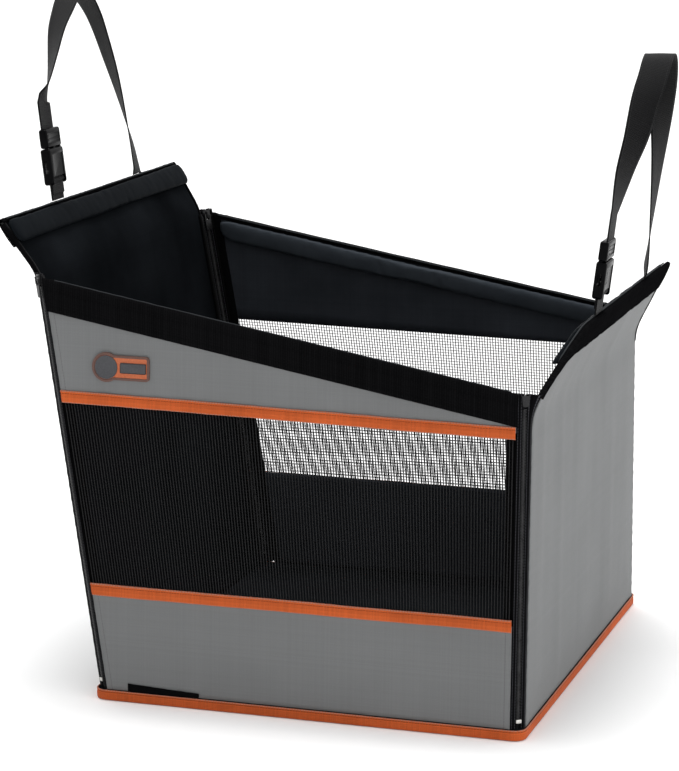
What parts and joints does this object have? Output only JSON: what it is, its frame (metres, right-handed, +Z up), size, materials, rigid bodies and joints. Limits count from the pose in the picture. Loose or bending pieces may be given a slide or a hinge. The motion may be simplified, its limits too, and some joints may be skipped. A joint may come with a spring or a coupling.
{
  "type": "dog car seat",
  "caption": "Open-topped fabric car seat for a small animal: leaning padded walls with mesh windows, zipped corners, flared end flaps and a buckled webbing loop above each end.",
  "frame": {"origin": "middle of the base's underside, on the surface that the seat stands on", "axes": "+X from the high end wall to the low end wall, +Y from the near long wall, which carries the patch, to the far one, +Z up"},
  "size_m": [0.7234, 0.562, 0.7551],
  "materials": {
    "grey_cloth": "coarse woven cloth, matt",
    "orange_tape": "woven tape, matt",
    "black_lining": "coated cloth, slight sheen",
    "black_webbing": "ribbed webbing, matt",
    "black_net": "open square net",
    "foam": "soft padding",
    "stiff_board": "fibreboard",
    "black_plastic": "moulded, fine grain",
    "zip_metal": "black, semi-gloss",
    "stop_metal": "bare, satin",
    "patch_rubber": "moulded, matt, bare"
  },
  "bodies": {
    "base": {"base_cover": "grey_cloth", "base_board": "stiff_board", "floor_lining": "black_lining", "base_binding": "orange_tape"},
    "near_wall": {"near_lower_panel": "grey_cloth", "near_lower_lining": "black_lining", "near_upper_panel": "grey_cloth", "near_upper_lining": "black_lining", "near_net": "black_net", "near_lower_trim": "orange_tape", "near_upper_trim": "orange_tape", "near_rim_band": "black_webbing", "near_rim_pad": "foam", "patch": "patch_rubber", "woven_tab": "black_webbing", "near_high_zip_long_tape": "black_webbing", "near_low_zip_long_tape": "black_webbing"},
    "far_wall": {"far_lower_panel": "grey_cloth", "far_lower_lining": "black_lining", "far_upper_panel": "grey_cloth", "far_upper_lining": "black_lining", "far_net": "black_net", "far_lower_trim": "orange_tape", "far_upper_trim": "orange_tape", "far_rim_band": "black_webbing", "far_rim_pad": "foam", "far_high_zip_long_tape": "black_webbing", "far_low_zip_long_tape": "black_webbing"},
    "high_wall": {"high_end_panel": "grey_cloth", "high_end_lining": "black_lining", "high_end_band": "black_webbing", "high_end_pad": "foam", "near_high_zip_end_tape": "black_webbing", "near_high_zip_stop": "stop_metal", "far_high_zip_end_tape": "black_webbing", "far_high_zip_stop": "stop_metal"},
    "low_wall": {"low_end_panel": "grey_cloth", "low_end_lining": "black_lining", "low_end_band": "black_webbing", "low_end_pad": "foam", "near_low_zip_end_tape": "black_webbing", "near_low_zip_stop": "stop_metal", "far_low_zip_end_tape": "black_webbing", "far_low_zip_stop": "stop_metal"},
    "near_high_slider": {"near_high_zip_slider": "zip_metal"},
    "near_low_slider": {"near_low_zip_slider": "zip_metal"},
    "far_high_slider": {"far_high_zip_slider": "zip_metal"},
    "far_low_slider": {"far_low_zip_slider": "zip_metal"},
    "near_high_pull": {"near_high_zip_pull": "zip_metal"},
    "near_low_pull": {"near_low_zip_pull": "zip_metal"},
    "far_high_pull": {"far_high_zip_pull": "zip_metal"},
    "far_low_pull": {"far_low_zip_pull": "zip_metal"},
    "high_strap": {"high_strap_webbing": "black_webbing", "high_strap_short_webbing": "black_webbing", "high_strap_buckle_socket": "black_plastic"},
    "high_plug": {"high_strap_buckle_plug": "black_plastic"},
    "low_strap": {"low_strap_webbing": "black_webbing", "low_strap_short_webbing": "black_webbing", "low_strap_buckle_socket": "black_plastic"},
    "low_plug": {"low_strap_buckle_plug": "black_plastic"}
  },
  "joints": [
    {"name": "near_wall_fold", "type": "hinge", "parent": "base", "child": "near_wall", "pos_m": [0, -0.2795, 0.0123], "axis": [1, 0, 0], "range_deg": [0, 90]},
    {"name": "far_wall_fold", "type": "hinge", "parent": "base", "child": "far_wall", "pos_m": [0, 0.2795, 0.0123], "axis": [-1, 0, 0], "range_deg": [0, 90]},
    {"name": "high_wall_fold", "type": "hinge", "parent": "base", "child": "high_wall", "pos_m": [-0.2415, 0, 0.0123], "axis": [0, -1, 0], "range_deg": [0, 78]},
    {"name": "low_wall_fold", "type": "hinge", "parent": "base", "child": "low_wall", "pos_m": [0.2415, 0, 0.0123], "axis": [0, 1, 0], "range_deg": [0, 83]},
    {"name": "near_high_zip_slide", "type": "slide", "parent": "high_wall", "child": "near_high_slider", "axis": [0.1598, -0.0345, -0.9866], "range_m": [0, 0.4283]},
    {"name": "near_low_zip_slide", "type": "slide", "parent": "low_wall", "child": "near_low_slider", "axis": [0, -0.0349, -0.9994], "range_m": [0, 0.3244]},
    {"name": "far_high_zip_slide", "type": "slide", "parent": "high_wall", "child": "far_high_slider", "axis": [0.1598, 0.0345, -0.9866], "range_m": [0, 0.4283]},
    {"name": "far_low_zip_slide", "type": "slide", "parent": "low_wall", "child": "far_low_slider", "axis": [0, 0.0349, -0.9994], "range_m": [0, 0.3244]},
    {"name": "near_high_pull_swing", "type": "hinge", "parent": "near_high_slider", "child": "near_high_pull", "pos_m": [-0.30947, -0.25945, 0.45964], "axis": [-0.6961, 0.7047, -0.1373], "range_deg": [0, 120]},
    {"name": "near_low_pull_swing", "type": "hinge", "parent": "near_low_slider", "child": "near_low_pull", "pos_m": [0.23192, -0.25775, 0.36067], "axis": [0.7071, 0.7067, -0.0247], "range_deg": [0, 120]},
    {"name": "far_high_pull_swing", "type": "hinge", "parent": "far_high_slider", "child": "far_high_pull", "pos_m": [-0.30436, 0.25428, 0.46028], "axis": [-0.6961, -0.7047, -0.1373], "range_deg": [0, 120]},
    {"name": "far_low_pull_swing", "type": "hinge", "parent": "far_low_slider", "child": "far_low_pull", "pos_m": [0.23192, 0.25775, 0.36067], "axis": [-0.7071, 0.7067, 0.0247], "range_deg": [0, 120]},
    {"name": "high_strap_swing", "type": "hinge", "parent": "high_wall", "child": "high_strap", "pos_m": [-0.35003, 0.015, 0.52606], "axis": [0, 1, 0], "range_deg": [-95, 50]},
    {"name": "low_strap_swing", "type": "hinge", "parent": "low_wall", "child": "low_strap", "pos_m": [0.27537, 0.015, 0.42993], "axis": [0, -1, 0], "range_deg": [-95, 60]},
    {"name": "high_buckle_release", "type": "slide", "parent": "high_strap", "child": "high_plug", "axis": [-0.1219, 0, 0.9925], "range_m": [0, 0.025]},
    {"name": "low_buckle_release", "type": "slide", "parent": "low_strap", "child": "low_plug", "axis": [0.1219, 0, 0.9925], "range_m": [0, 0.025]}
  ]
}
